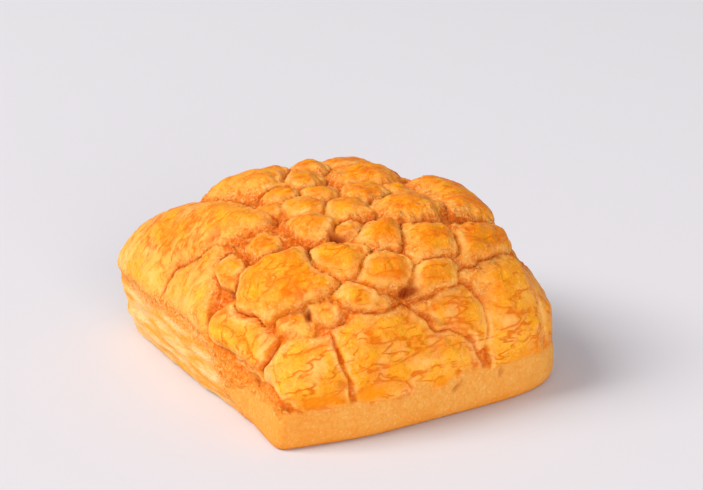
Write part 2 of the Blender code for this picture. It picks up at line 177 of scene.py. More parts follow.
# The plates of the far side stand in rows: sheet line, spacing, half size across and along, rise
FAR_ROWS = ((60, 23, 10.5, 14, 1.5), (43, 19, 10, 11.5, 2.3), (27, 16, 9, 9.5, 2.3), (12, 14, 8, 8, 2.3))
FAR_SEED = 11
FAR_FROM = 8  # the far side is where u + v is at least this
FAR_CLEAR = 0.3  # their middles keep this share of their half size outside the other plates
STRAY_ALONG, STRAY_ACROSS, STRAY_TURN = 4, 3, 30  # the most that one is out of its row, and turned
SIZES_VARY, RISES_VARY = (0.78, 1.2), (0.8, 1.2)
# Where the topping broke away and the bread shows: u, v, half size along u and along v
BARE = (
    (-33, -11, 9, 10),
    (-33, -49, 5, 4),
    (-50, -15, 4, 5),
    (-68, -44, 7, 15),
    (-46, -50, 6, 5),
    (17, -25, 3, 6),
    (-18, -26, 5, 2.5),
)
# Pits and burst bubbles: u, v, half sizes, turn in degrees, depth, and how dark they are baked
PITS = (
    (-22.5, -28.3, 2.6, 1.5, 0, 1.2, 0.75),
    (-8.5, -45.3, 3.0, 1.7, 0, 0.9, 0.85),
    (-46.5, -48.8, 1.0, 1.9, 0, 1.6, 0.8),
    (-48, -15, 1.2, 1.6, 0, 0.8, 0.5),
    (-67, -45, 1.5, 1.3, 0, 1.0, 0.4),
    (5.5, -71, 2.2, 0.8, 40, 0.9, 0.4),
    (26, -70.3, 0.8, 1.3, 0, 0.8, 0.4),
    (-0.5, -54.3, 2.2, 1.0, -30, 0.9, 0.35),
    (2.2, -60.5, 5.2, 0.45, -58, 0.6, 0.3),
    (-38.5, 4, 3.2, 1.8, 0, 1.2, 0.2),
    (-47, 13, 1.6, 2.0, 0, 1.0, 0.2),
    (-41, 10, 1.2, 1.2, 0, 0.8, 0.3),
    (-49, 24.5, 0.9, 1.2, 0, 0.8, 0.3),
    (18, -34, 1.0, 1.0, 0, 0.8, 0.4),
    (22, -34, 1.0, 1.0, 0, 0.7, 0.4),
    (13.5, -10.5, 2.6, 0.9, 0, 1.0, 0.45),
)
# Where the egg wash ran together before baking: u, v, half size along u and along v
POOLS = (
    (-32, -68.5, 4.5, 3),
    (-52, -67, 6, 2.5),
    (2, -69, 9, 1.6),
    (25, -69.5, 5, 1.8),
    (46, -69, 9, 2.5),
)
NEAR_CORNER = (-75, -72, 14, 16)  # baked browner, in the same terms

CELLS = 300  # squares along the sheet
UNDERSIDE = 5.0  # the foot turns under by this much
UNDER_RINGS = (0.7, 0.4)  # where the underside has more rings of points, from its middle to its edge
EDGE_MARGIN = 0.4  # normals are taken at least this far inside the sheet's edge
MILLIMETRE = 0.001

# The camera, in millimetres and degrees
LENS, SENSOR = 85.0, 36.0
CAMERA = (-233.64, -399.90, 198.37)
CAMERA_PITCH, CAMERA_YAW = 19.58936791, -30.85073517

# The studio, in metres and watts. A lamp has a name, a place, a size, a power and a colour
FLOOR_REACH, FLOOR_COLOUR, FLOOR_ROUGHNESS, FLOOR_SHEEN = 4.0, (0.705, 0.69, 0.72), 0.6, 0.15
LAMPS = (
    ("key", (-4.2, 1.8, 4.2), 3.2, 372, (1.0, 0.985, 0.96)),
    ("front", (-1.3, -5.6, 1.5), 3.2, 208, (1.0, 1.0, 1.0)),
)
LAMPS_AIM = (0, 0, 0.03)
BACKDROP_COLOUR, BACKDROP_STRENGTH = (0.97, 0.96, 1.0), 0.44


def smooth(x, start, end):
    """0 up to the start and 1 from the end on, with a soft step between them."""
    t = np.clip((x - start) / (end - start), 0, 1)
    return t * t * (3 - 2 * t)


def noise(points, size, seed):
    """A smooth random field between -1 and 1 with lumps about `size` across."""
    table = np.random.default_rng(seed).uniform(-1, 1, (24, 24, 24))
    turned = points @ np.array([[0.36, 0.48, -0.8], [-0.8, 0.6, 0.0], [0.48, 0.64, 0.6]])
    at = turned / size + 100.0
    cell = np.floor(at).astype(int)
    t = at - cell
    t = t * t * (3 - 2 * t)
    total = 0.0
    for dx in (0, 1):
        for dy in (0, 1):
            for dz in (0, 1):
                share = (
                    (t[..., 0] if dx else 1 - t[..., 0])
                    * (t[..., 1] if dy else 1 - t[..., 1])
                    * (t[..., 2] if dz else 1 - t[..., 2])
                )
                corner = (cell + (dx, dy, dz)) % len(table)
                total = total + share * table[corner[..., 0], corner[..., 1], corner[..., 2]]
    return total


def layered(points, layers, draw=0, fold=False):
    """Noises added up. Another draw has other seeds; folded noise has creases where it would cross 0."""
    total = 0.0
    for share, size, seed in layers:
        field = noise(points, size, seed + draw)
        total = total + share * (np.abs(field) if fold else field)
    return total


def torn_share(turn, ring):
    """1 on the torn sides and 0 on the baked ones; the step between them is wider over the crown."""
    degrees = np.degrees(turn) % 360
    wider = TORN_BLEND * (1 - smooth(ring, 0.55, 0.9))
    (start, first), (end, last) = TORN_FROM, TORN_TO
    begun = smooth((degrees - start) / (first + wider), -1, 1)
    ended = smooth((degrees - end) / (last + wider), -1, 1)
    return begun * (1 - ended)


def profile(side, count=400):
    """From the crown to the foot in equal steps along the curve: reach, height, draw-in and lean."""
    fine, coarse = 3000, 600  # samples over the widest line and under it
    t = np.linspace(0, np.pi / 2, fine)
    under = np.linspace(0, np.pi / 2, coarse)[1:]
    lean = np.cos(t) ** (2 / side["crown"])
    reach = np.r_[np.sin(t) ** (2 / side["shoulder"]), np.ones(len(under))]
    height = np.r_[
        side["belt"] + (HEIGHT - side["belt"]) * lean,
        side["belt"] * (1 - np.sin(under) ** (2 / side["foot"])),
    ]
    drawn = np.r_[np.zeros(len(t)), 1 - np.cos(under) ** (2 / side["foot"])]
    lean = np.r_[lean, np.zeros(len(under))]
    out = reach * (HALF_X + HALF_Y) / 2 - side["inset"] * drawn
    length = np.r_[0, np.cumsum(np.hypot(np.diff(out), np.diff(height)))]
    steps = np.linspace(0, length[-1], count)
    return [np.interp(steps, length, curve) for curve in (reach, height, drawn, lean)]


CRUST_CURVE, TORN_CURVE = profile(CRUST), profile(TORN)


def rounded_box(turn, power):
    """How far the outline is from the middle in each direction; a higher power has squarer corners."""
    reach = np.abs(np.cos(turn) / HALF_X) ** power + np.abs(np.sin(turn) / HALF_Y) ** power
    return reach ** (-1 / power)


def near_point(turn):
    """The outline of the near corner: two leaning sides that meet in a point."""
    cos, sin = np.cos(turn), np.sin(turn)
    away, box_power = -0.2, 9.0  # the sides count only where they face the corner
    left = (POINT_X - LEFT_LEAN * POINT_Y) / np.minimum(cos - LEFT_LEAN * sin, away)
    front = (POINT_Y + FRONT_LEAN * POINT_X) / np.minimum(sin + FRONT_LEAN * cos, away)
    outlines = left, front, rounded_box(turn, box_power)
    return sum(outline**-SHARPNESS for outline in outlines) ** (-1 / SHARPNESS)


def loaf(u, v):
    """The smooth loaf: the point under each place of the sheet."""
    u, v = np.asarray(u, float) / SHEET, np.asarray(v, float) / SHEET
    ring = np.maximum(np.abs(u), np.abs(v))
    turn = np.arctan2(v * HALF_Y, u * HALF_X)
    torn = torn_share(turn, ring)
    steps = np.linspace(0, 1, len(CRUST_CURVE[0]))
    reach, height, drawn, lean = (
        np.interp(ring, steps, crust) * (1 - torn) + np.interp(ring, steps, pulled) * torn
        for crust, pulled in zip(CRUST_CURVE, TORN_CURVE)
    )
    corner = CRUST["corner"] * (1 - torn) + TORN["corner"] * torn
    power = ROUND_CROWN + (corner - ROUND_CROWN) * reach**SQUARING
    across = rounded_box(turn, power)
    away = np.degrees(np.arccos(np.clip(np.cos(turn - np.arctan2(POINT_Y, POINT_X)), -1, 1)))
    pointed = (1 - smooth(away, *POINT_TURN)) * smooth(reach, *POINT_REACH) * (1 - torn)
    across = across * (1 - pointed) + near_point(turn) * pointed
    out = reach * across - (CRUST["inset"] * (1 - torn) + TORN["inset"] * torn) * drawn
    return np.stack([out * np.cos(turn) + CROWN_X * lean, out * np.sin(turn) + CROWN_Y * lean, height], -1)


def normals(u, v, step=0.3):
    """Which way the smooth loaf faces under each place of the sheet."""
    along_u = loaf(u + step, v) - loaf(u - step, v)
    along_v = loaf(u, v + step) - loaf(u, v - step)
    normal = np.cross(along_u, along_v)
    return normal / np.linalg.norm(normal, axis=-1, keepdims=True)


def tangents(u, v, degrees, step=0.3):
    """The point of the loaf at u, v and two directions along it there, turned by an angle."""
    middle = loaf(u, v)
    normal = normals(np.array([u]), np.array([v]))[0]
    first = loaf(u + step, v) - loaf(u - step, v)
    first /= np.linalg.norm(first)
    second = np.cross(normal, first)
    c, s = np.cos(np.radians(degrees)), np.sin(np.radians(degrees))
    return middle, first * c + second * s, second * c - first * s


def spread(points, middle, first, second):
    """Points as distances along two directions from a middle, measured over the curve of the loaf."""
    away = points - middle
    a, b = away @ first, away @ second
    stretch = np.linalg.norm(away, axis=-1) / (np.hypot(a, b) + 1e-9)
    return a * stretch, b * stretch


def inside(points, shape, power=3):
    """How far inside a shape each point is, in millimetres; negative outside it."""
    if isinstance(shape[0], tuple):
        return inside_outline(points, shape)
    u, v, half_u, half_v, degrees = shape
    a, b = spread(points, *tangents(float(u), float(v), degrees))
    reach = (np.abs(a / half_u) ** power + np.abs(b / half_v) ** power) ** (1 / power)
    return (1 - reach) * min(half_u, half_v)


def inside_outline(points, corners):
    """How far inside an outline on the sheet each point is, in millimetres; negative outside it."""
    sheet = np.array(corners, float)
    plane = tangents(*sheet.mean(axis=0), 0)
    a, b = spread(points, *plane)
    ends = np.stack(spread(loaf(*sheet.T), *plane), -1)
    nearest, within = np.full(a.shape, 99.0), np.zeros(a.shape, bool)
    for (a0, b0), (a1, b1) in zip(ends, np.roll(ends, -1, axis=0)):
        along_a, along_b = a1 - a0, b1 - b0
        share = (((a - a0) * along_a + (b - b0) * along_b) / (along_a**2 + along_b**2)).clip(0, 1)
        nearest = np.minimum(nearest, np.hypot(a - a0 - share * along_a, b - b0 - share * along_b))
        within ^= ((b0 > b) != (b1 > b)) & (a < a0 + (b - b0) * along_a / (along_b + 1e-9))
    return np.where(within, nearest, -nearest)


def all_plates():
    """Every plate: shape, half its smaller width, rise, how crumbly. Those of the far side stand in rows."""
    found = []
    for rise, *corners in LARGE_PLATES:
        middle = loaf(*np.mean(corners, axis=0))[None]
        found.append((tuple(corners), float(inside(middle, tuple(corners))[0]), rise, 0))
    for *shape, rise, crumbly in PLATES:
        found.append((tuple(shape), min(shape[2:4]), rise, crumbly))
    draw = np.random.default_rng(FAR_SEED)
    for line, spacing, across, along, rise in FAR_ROWS:
        count = int(2 * line / spacing)
        for k in range(4 * count):
            side, place = divmod(k, count)
            run = (place + 0.5) / count * 2 * line - line + draw.uniform(-STRAY_ALONG, STRAY_ALONG)
            row = line + draw.uniform(-STRAY_ACROSS, STRAY_ACROSS)
            u, v = ((row, run), (-run, row), (-row, -run), (run, -row))[side]
            size = draw.uniform(*SIZES_VARY)
            half_u, half_v = (across, along) if side % 2 == 0 else (along, across)
            shape = (u, v, half_u * size, half_v * size, draw.uniform(-STRAY_TURN, STRAY_TURN))
            lift = rise * draw.uniform(*RISES_VARY)
            clear = max(inside(loaf(u, v)[None], other[0])[0] for other in found) < -FAR_CLEAR * across
            if u + v >= FAR_FROM and clear:
                found.append((shape, min(half_u, half_v) * size, lift, 0))
    return found


def torn_line(turn):
    """The sheet line where the crust stops and the torn face starts, which runs to the foot at both ends."""
    degrees = np.degrees(turn) % 360
    near = smooth(degrees, 190, 217) ** TORN_DROP_CURVE * TORN_DROP
    far = (1 - smooth(degrees, 52, 78)) ** TORN_DROP_CURVE * TORN_DROP
    return TORN_LINE + near + far


def wrinkles(points, size, seed, thin):
    """Thin branching lines, 1 on the line and 0 away from it."""
    bent = points + np.stack([noise(points, size * 0.6, seed + k) for k in (1, 2, 3)], -1) * size * 0.35
    return 1 - smooth(np.abs(noise(bent, size, seed)), 0, thin)


def patches(points, places, soft):
    """1 inside any of these round patches and 0 outside them, over a soft edge."""
    found = np.zeros(len(points))
    for place in places:
        found = np.maximum(found, smooth(inside(points, (*place, 0), 2), -soft, soft))
    return found


def left_flank(u, v, lines):
    """1 on the left flank from the second of these sheet lines out, and 0 up to the first."""
    return smooth(-u, *lines) * smooth(v, *FLANK_FRONT)


class Places:
    """Places of the sheet, with what both the relief and the colours need to know of them."""

    def __init__(self, u, v, points):
        self.u, self.v, self.points = u, v, points
        self.ring = np.maximum(np.abs(u), np.abs(v))
        self.turn = np.arctan2(v * HALF_Y, u * HALF_X)
        self.puffy = 1 - smooth(self.ring, *PUFFY_ENDS)
        self.merged = left_flank(u, v, FLANK_MERGED)
        self.wander = np.stack([layered(points, WANDER, k) for k in range(3)], -1)
        self.jag = [layered(points, JAG, k) for k in range(3)]
        self.fine_jag = layered(points, FINE_JAG) * (1 - 0.4 * self.puffy)


def nearest_plates(points, jag):
    """How far inside its plate and the next each point is, and the plate's rise, crumbs and half width."""
    best, second = np.full((2, len(points)), -99.0)
    rise, crumbly, half = np.zeros((3, len(points)))
    for k, (shape, narrow, lift, crumbs_on) in enumerate(all_plates()):
        mix = np.cos(k * 1.9), np.sin(k * 1.9), np.cos(k * 3.1 + 1)  # each plate frays in its own way
        edge = inside(points, shape) + RAGGED * (mix[0] * jag[0] + mix[1] * jag[1] + mix[2] * jag[2])
        wins = edge > best
        second = np.where(wins, best, np.maximum(second, edge))
        best = np.where(wins, edge, best)
        rise = np.where(wins, lift, rise)
        crumbly = np.where(wins, crumbs_on, crumbly)
        half = np.where(wins, min(narrow, WIDE), half)
    return best, second, rise, crumbly, half


def crust(at):
    """The cracked topping and the bread in its cracks: height off the smooth loaf, and how its plates lie."""
    calmer = (1 - 0.2 * at.puffy)[:, None]
    best, second, rise, crumbly, half = nearest_plates(at.points + at.wander * calmer, at.jag)
    thin, shallow = smooth(at.ring, *THINNING), 1 - PUFFY_CRACKS * at.puffy
    # plates spread until a crack parts them, but not over the bare patches
    bare_patch = patches(at.points + 2 * at.wander, BARE, 2.5)
    grow = GROW * (1 - bare_patch) * (1 - THIN_GROW * smooth(at.ring, 58, 66))
    crack = CRACK_WIDTH * (0.75 + layered(at.points, CRACK_VARIES)) * shallow
    edge = np.minimum(best + grow + at.fine_jag, (best - second - crack) / 2 + 0.35 * at.fine_jag)
    # each is domed up from its rim, with lumps on top and crumbly knobs on its sides
    up = np.clip((best + grow) / (half + grow), 0, 1)
    dome = 1 - (1 - up) ** 2
    pillow = 1 - (1 - np.clip(edge / PILLOW, 0, 1)) ** 2
    soft_rim = pillow + (dome - pillow) * 0.8 * at.puffy
    rise = rise * (1 - THIN_RISE * smooth(at.ring, 60, 68)) * (1 + PUFFY_RISE * at.puffy)
    rim = (RIM - PUFFY_RIM * at.puffy) * (1 - THIN_RIM * thin)
    lumps = layered(at.points, LUMPS) * (1 - 0.5 * smooth(half, 7, 10))
    plates = rim + rise * (0.2 * soft_rim + 1.1 * dome) + lumps * smooth(edge, 0, 3)
    knobs = layered(at.points, KNOBS, fold=True) - KNOBS_MEAN
    crumbs = layered(at.points, CRUMBS, fold=True) - CRUMBS_MEAN
    sides = (1 - smooth(up, 0.15, 0.7)) * smooth(edge, 0, 1.0) * (0.35 + 0.65 * at.puffy)
    plates = plates + (1.1 * knobs + 0.6 * crumbs * at.puffy) * sides
    # between them are the cracks, and the bread where there is room
    grain = layered(at.points, GRAIN, fold=True) - GRAIN_MEAN
    bread = (BREAD - PUFFY_BREAD * at.puffy) * (1 - THIN_BREAD * thin) + 0.9 * grain + 0.7 * crumbs
    bottom = rim - CRACK_DEPTH * shallow * (1 - THIN_CRACKS * thin)
    floor = bottom + (bread - bottom) * smooth(-edge, 0.8, 2.5)
    low = floor + (plates - floor) * 0.8 * at.merged
    on_plate = smooth(edge, -0.7, 0.45)
    height = low + (plates + crumbly * 0.6 * (grain + crumbs) - low) * on_plate
    return height + layered(at.points, SWELL), edge, up, on_plate, bare_patch


def torn_relief(points):
    """The pulled strands and folds of the torn faces, which run from front to back."""
    along, wide = points / np.array(STRAND_STRETCH), points / np.array(FOLD_STRETCH)
    return layered(along, STRANDS) + layered(wide, FOLDS) + layered(along, FIBRES) - TORN_SINK


def pits(at):
    """How deep the pits and burst bubbles are, and how dark."""
    pit, burn = np.zeros((2, len(at.points)))
    for *shape, depth, dark in PITS:
        hole = inside(at.points + 0.5 * at.wander, shape, 2) + 0.8 * min(shape[2:4]) * at.fine_jag
        pit = np.maximum(pit, depth * smooth(hole, -0.3, 0.9))
        burn = np.maximum(burn, dark * smooth(hole, -0.6, 0.7))
    return pit, burn


def creases(at):
    """The fine creases of the topping, which run long on the left flank."""
    short = np.maximum(wrinkles(at.points, *WIDE_CREASES), CLOSE_SHARE * wrinkles(at.points, *CLOSE_CREASES))
    long = wrinkles(at.points / np.array(FOLD_STRETCH), *LONG_CREASES)
    flank = left_flank(at.u, at.v, FLANK_CREASED)
    return short * (1 - flank) + long * flank


def surface(u, v, points):
    """How far the surface stands off the smooth loaf, and the fields that its colours follow."""
    at = Places(u, v, points)
    height, edge, up, on_plate, bare_patch = crust(at)
    band = smooth(at.ring + layered(points, BAND_WAVERS), BAND, BAND + BAND_LIP)
    height = height * (1 - band) + BAND_LEVEL * band
    below = at.ring - torn_line(at.turn) + layered(points, TORN_WAVERS)
    torn = torn_share(at.turn, at.ring / SHEET) * smooth(below, -2.5, 1.5)
    height = height * (1 - torn) + torn_relief(points) * torn
    pit, burn = pits(at)
    topping = on_plate * (1 - band) * (1 - torn)
    height = height - pit - CREASE_DEPTH * creases(at) * topping * smooth(edge, 0.3, 1.5)
    height = height * (1 - smooth(at.ring, *FOOT_FADE))

    # the torn colour runs a little past the torn face's near end, so that no seam shows
    degrees = np.degrees(at.turn) % 360
    spill = smooth(degrees, *SPILL_FROM) * (1 - smooth(degrees, *SPILL_TO)) * smooth(below, -2.5, 1.5)
    crusted = (1 - band) * (1 - torn)
    far_side = smooth(u + 0.7 * v, -20, 30)
    toasted = 0.75 * (1 - smooth(at.ring, 38, 60)) * (1 - 0.6 * smooth(v - u, 25, 55)) + 0.55 * far_side
    # painted shade: the cracks between plates, darkened in the colour
    crevice_shade = smooth(-edge, -0.5, 0.3) * (1 - smooth(-edge, 1.2, 3.0)) * (1 - 0.5 * bare_patch)
    # painted shade: the low ground between the puffy bumps and over the far side, darkened in the colour
    valley_shade = (1 - smooth(up + 0.1 * at.jag[1], 0.0, 0.36)) * np.maximum(at.puffy, far_side) * 0.9
    corner = patches(points + 2 * at.wander, (NEAR_CORNER,), 4)
    foot = smooth(at.ring + layered(points, FOOT_WAVERS), 75.0, 79.0)
    fields = dict(
        topping=topping,
        valley_shade=valley_shade * (1 - crevice_shade) * crusted,  # the low ground between the bumps, with painted shade over its redder crumb
        crevice_shade=crevice_shade * crusted,  # the cracks between plates, with painted shade over their redder crumb
        slope_crumb_and_highlight=smooth(up, 0.1, 0.3) * (1 - smooth(up, 0.4, 0.75)) * at.puffy * topping,  # sides of bumps: paler crumb, and a painted highlight
        shoulder=smooth(-u, 50, 58) * (1 - smooth(v, -12, 6)) * (1 - torn),  # browned bread, near left
        edge=smooth(edge, 0, 0.8) * (1 - smooth(edge, 0.8, 2.2)) * topping,  # the rims of plates
        band=band * (1 - torn),
        foot=np.maximum(foot, 0.45 * corner) * (1 - torn),
        torn=np.maximum(torn, spill) * smooth(below, 0, 8),
        pool=patches(points + 1.2 * at.wander, POOLS, 1.5) * topping,
        burn=burn,
        skin=smooth(up + 0.15 * at.jag[0], 0.15, 0.5) * at.puffy + (1 - at.puffy),  # not crumbly
        flank=at.merged,
        toast=np.minimum(toasted, 1) * (1 - at.merged) + 0.9 * at.merged * (1 - smooth(at.ring, 42, 57)),
    )
    return height, fields


def foot_lift(u, v):
    """The torn foot is ragged and stands a little clear of the ground in places."""
    turn = np.arctan2(v * HALF_Y, u * HALF_X)
    points = loaf(u, v)
    return torn_share(turn, 1.0) * (TORN_LIFT + TORN_LIFT_MORE * (noise(points, 11, 81) + 0.3).clip(0, 1))


def sheet_border(cells):
    """Numbers of the sheet's border points, once round it."""
    side = cells + 1
    number = np.arange(side * side).reshape(side, side)
    return np.r_[number[:-1, 0], number[-1, :-1], number[:0:-1, -1], number[0, :0:-1]]


def underside(points, border):
    """The points with those of the flat underside added, and the faces that close it from the border in."""
    flat = points[border] * (1, 1, 0)
    middle = points[border].mean(axis=0) * (1, 1, 0)
    reach = flat - middle
    length = np.linalg.norm(reach, axis=1, keepdims=True)
    outer, faces = border, []
    for share in (1 - UNDERSIDE / length, *UNDER_RINGS):
        inner = np.arange(len(border)) + len(points)
        points = np.r_[points, middle + reach * share]
        faces += np.stack([outer, inner, np.roll(inner, -1), np.roll(outer, -1)], -1).tolist()
        outer = inner
    tip = np.full(len(border), len(points))
    faces += np.stack([outer, tip, np.roll(outer, -1)], -1).tolist()
    return np.r_[points, middle[None]], faces


def skin(cells):
    """The loaf with its relief as one closed mesh, and the fields at each of its points."""
    line = np.linspace(-SHEET, SHEET, cells + 1)
    u, v = (grid.ravel() for grid in np.meshgrid(line, line, indexing="ij"))
    points = loaf(u, v)
    height, fields = surface(u, v, points)
    within = SHEET - EDGE_MARGIN
    points = points + normals(u.clip(-within, within), v.clip(-within, within)) * height[:, None]
    number = np.arange(len(u)).reshape(cells + 1, cells + 1)
    faces = np.stack([number[:-1, :-1], number[1:, :-1], number[1:, 1:], number[:-1, 1:]], -1)
    border = sheet_border(cells)
    points[border, 2] = foot_lift(u[border], v[border])
    points, closing = underside(points, border)
    for name, values in fields.items():
        below = 1.0 if name == "band" else 0.0  # the underside looks like the band
        fields[name] = np.r_[values, np.full(len(points) - len(u), below)]
    return points, faces.reshape(-1, 4).tolist() + closing, fields


def fitted(points, low, high):
    """The points moved and sized, by a hair, to stand in exactly this box."""
    own_low, own_high = points.min(axis=0), points.max(axis=0)
    return (points - own_low) / (own_high - own_low) * (high - low) + low


def make_bun():
    points, faces, fields = skin(CELLS)
    low, high = (np.array(corner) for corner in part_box("bun"))
    mesh = bpy.data.meshes.new("bun_crust")
    mesh.from_pydata(fitted(points * MILLIMETRE, low, high).tolist(), [], faces)
    mesh.shade_smooth()
    for name, values in fields.items():
        mesh.attributes.new(name, "FLOAT", "POINT").data.foreach_set("value", values.astype(np.float32))
    bun = bpy.data.objects.new("bun_crust", mesh)
    bpy.context.collection.objects.link(bun)
    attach(bun, "root")
    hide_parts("bun")
    return bun


class Nodes:
    """Short ways to add and join shader nodes."""

    def __init__(self, name):
        self.material = bpy.data.materials.new(name)
        self.material.use_nodes = True
        self.tree = self.material.node_tree
        self.shader = self.tree.nodes["Principled BSDF"]

    def put(self, value, socket):
        """Joins a socket, or sets a number or a colour."""
        if isinstance(value, bpy.types.NodeSocket):
            self.tree.links.new(value, socket)
        elif isinstance(value, tuple) and len(value) == 3 and socket.type == "RGBA":
            socket.default_value = (*value, 1)
        else:
            socket.default_value = value

    def add(self, kind, settings=None, **inputs):
        """A new node; inputs go by name, or by number after a letter."""
        node = self.tree.nodes.new("ShaderNode" + kind)
        for name, value in (settings or {}).items():
            setattr(node, name, value)
        for name, value in inputs.items():
            self.put(value, node.inputs[int(name[1:]) if name[1:].isdigit() else name.replace("_", " ")])
        return node

    def field(self, name):
        return self.add("Attribute", dict(attribute_name=name, attribute_type="GEOMETRY")).outputs["Fac"]

    def math(self, operation, a, b=0.0):
        return self.add("Math", dict(operation=operation), i0=a, i1=b).outputs[0]

    def times(self, a, b):
        return self.math("MULTIPLY", a, b)

    def span(self, value, start, end, low=0.0, high=1.0):
        """Low up to the start and high from the end on, with a soft step between them."""
        limits = dict(From_Min=start, From_Max=end, To_Min=low, To_Max=high)
        node = self.add("MapRange", dict(interpolation_type="SMOOTHSTEP"), Value=value, **limits)
        return node.outputs["Result"]

    def mix(self, share, a, b):
        """The first colour where the share is 0 and the second where it is 1."""
        return self.add("Mix", dict(data_type="RGBA"), Factor=share, i6=a, i7=b).outputs[2]

    def tint(self, base, field, share, colour):
        """The base with a colour over it, as strong as a field of the mesh and a share say."""
        return self.mix(self.times(self.field(field), share), base, colour)

    def noise(self, size, detail=3.0, rough=0.55, stretch=(1, 1, 1)):
        """Noise whose lumps are about `size` millimetres across."""
        where = self.add("TexCoord").outputs["Object"]
        scale = tuple(1 / (size * MILLIMETRE * s) for s in stretch)
        moved = self.add("VectorMath", dict(operation="MULTIPLY"), i0=where, i1=scale).outputs[0]
        return self.add("TexNoise", Vector=moved, Scale=1.0, Detail=detail, Roughness=rough).outputs["Fac"]

    def veins(self, size, thin, stretch=(1, 1, 1)):
        """Thin wandering lines about `size` millimetres apart that come and go: 1 on the line, 0 off it."""
        level = self.noise(size, 3, 0.5, stretch)
        off_line = self.math("ABSOLUTE", self.math("SUBTRACT", level, 0.5))
        line = self.span(off_line, 0, thin, 1, 0)
        return self.times(line, self.span(self.noise(size * 0.8, 1), 0.3, 0.55))

    def bump(self, height, millimetres, normal=None):
        node = self.add("Bump", Height=height, Strength=1.0, Distance=millimetres * MILLIMETRE)
        if normal is not None:
            self.put(normal, node.inputs["Normal"])
        return node.outputs["Normal"]


# Colours of the bun, linear
GOLD = (0.93, 0.41, 0.025)
AMBER = (0.90, 0.36, 0.008)
# Pale cream crust and crumbs; laid in patches and streaks over the topping it is partly painted highlight
PALE = (1.0, 0.59, 0.22)
# Paler crumb on the sides of the crown's bumps, partly a painted highlight
SLOPE_CRUMB_AND_HIGHLIGHT = (0.96, 0.47, 0.10)
TOAST_GOLD = (0.84, 0.34, 0.0)
TOAST_AMBER = (0.79, 0.22, 0.0)
VEIN = (0.74, 0.15, 0.0)
GLAZE = (0.88, 0.265, 0.0)
BREAD_TOP = (0.90, 0.33, 0.05)
BREAD_TOASTED = (0.86, 0.305, 0.04)
BREAD_DEEP = (0.72, 0.145, 0.0)
BAND_GOLD = (0.80, 0.37, 0.075)
BAND_BROWN = (0.78, 0.25, 0.02)
TORN_PALE = (0.97, 0.59, 0.24)
TORN_GOLD = (0.95, 0.36, 0.035)
# Painted shade of the valleys between bumps, over the crumb's own red
VALLEY_SHADE_RED = (0.60, 0.085, 0.0)
# Painted shade of the cracks between plates, over the crumb's own red
CREVICE_SHADE = (0.60, 0.095, 0.0)
BURNT = (0.34, 0.035, 0.002)
# How the crust takes light: roughness of crumb and of smooth skin, sheen, and the share of light that
# sinks in, how far its red, green and blue go, and the depth in millimetres
CRUMB_ROUGHNESS, SKIN_ROUGHNESS, SHEEN = 0.75, 0.36, 0.06
SINKS_IN, SINKS_BY_COLOUR, SINKS_DEPTH = 0.3, (1.0, 0.35, 0.12), 1.5
# Bump depths in millimetres
GRAIN_BUMP, CREASE_BUMP, SPECK_BUMP = 1.0, 0.15, 0.5


def crease_lines(n):
    """The fine lines of the topping: across the front and crown, and streaks along the left flank."""
    across = n.math("MAXIMUM", n.veins(9, 0.045, (2.6, 1, 1)), n.veins(5, 0.045, (3, 1, 1)))
    across = n.math("MAXIMUM", across, n.times(n.veins(9, 0.14, (2.6, 1, 1)), 0.45))
    streaks = n.times(n.veins(3, 0.08, (6, 1, 2)), n.span(n.field("toast"), 0, 0.6, 0.4, 1))
    lines = n.add("Mix", dict(data_type="FLOAT"), Factor=n.field("flank"), i2=across, i3=streaks).outputs[0]
    return n.times(lines, n.times(n.field("skin"), n.field("topping")))


def topping_colour(n, speck, mottle, lines):
    """The sugar crust: gold to amber, toasted over the crown, with pale patches and flank streaks that are
    partly painted highlights, creases and egg wash.
    """
    toast, small = n.field("toast"), n.noise(5)
    fresh = n.mix(n.span(n.noise(16), 0.25, 0.55), AMBER, GOLD)
    toasted = n.mix(n.span(small, 0.35, 0.65), TOAST_AMBER, TOAST_GOLD)
    colour = n.mix(toast, fresh, toasted)
    colour = n.mix(n.span(mottle, 0.38, 0.55, 0.25, 0), colour, VEIN)
    colour = n.mix(n.span(n.noise(0.7, 2, 0.6), 0.32, 0.46, 0.45, 0), colour, VEIN)
    # pale patches at random, partly paler crust and partly painted highlights on the smooth skin
    pale_patches_and_highlights = n.times(n.span(n.noise(7), 0.4, 0.72), n.span(toast, 0, 0.8, 0.52, 0.04))
    colour = n.mix(pale_patches_and_highlights, colour, PALE)
    # pale streaks along the left flank, partly the crust's own streaks and partly painted highlights
    pale_streaks_and_highlights = n.span(n.noise(2.5, 3, 0.55, (4, 1, 3)), 0.3, 0.7, 0.4, 1)
    pale_streaks_and_highlights = n.times(pale_streaks_and_highlights, n.span(n.noise(9), 0.42, 0.62, 0.05, 0.32))
    colour = n.tint(colour, "flank", pale_streaks_and_highlights, PALE)
    colour = n.mix(n.span(speck, 0.56, 0.7, 0, 0.35), colour, PALE)
    colour = n.mix(n.times(lines, 0.9), colour, VEIN)
    colour = n.tint(colour, "edge", n.span(small, 0.4, 0.6, 0.05, 0.5), PALE)
    return n.tint(colour, "pool", 0.75, GLAZE)


def bread_colour(n, grain, speck, mottle):
    """The bread that shows between and under the plates."""
    top = n.mix(n.field("toast"), BREAD_TOP, BREAD_TOASTED)
    colour = n.mix(n.span(grain, 0.35, 0.6), BREAD_DEEP, top)
    colour = n.mix(n.span(speck, 0.52, 0.66, 0, 0.8), colour, PALE)
    return n.tint(colour, "shoulder", n.span(mottle, 0.35, 0.6, 0.75, 0.25), BAND_BROWN)


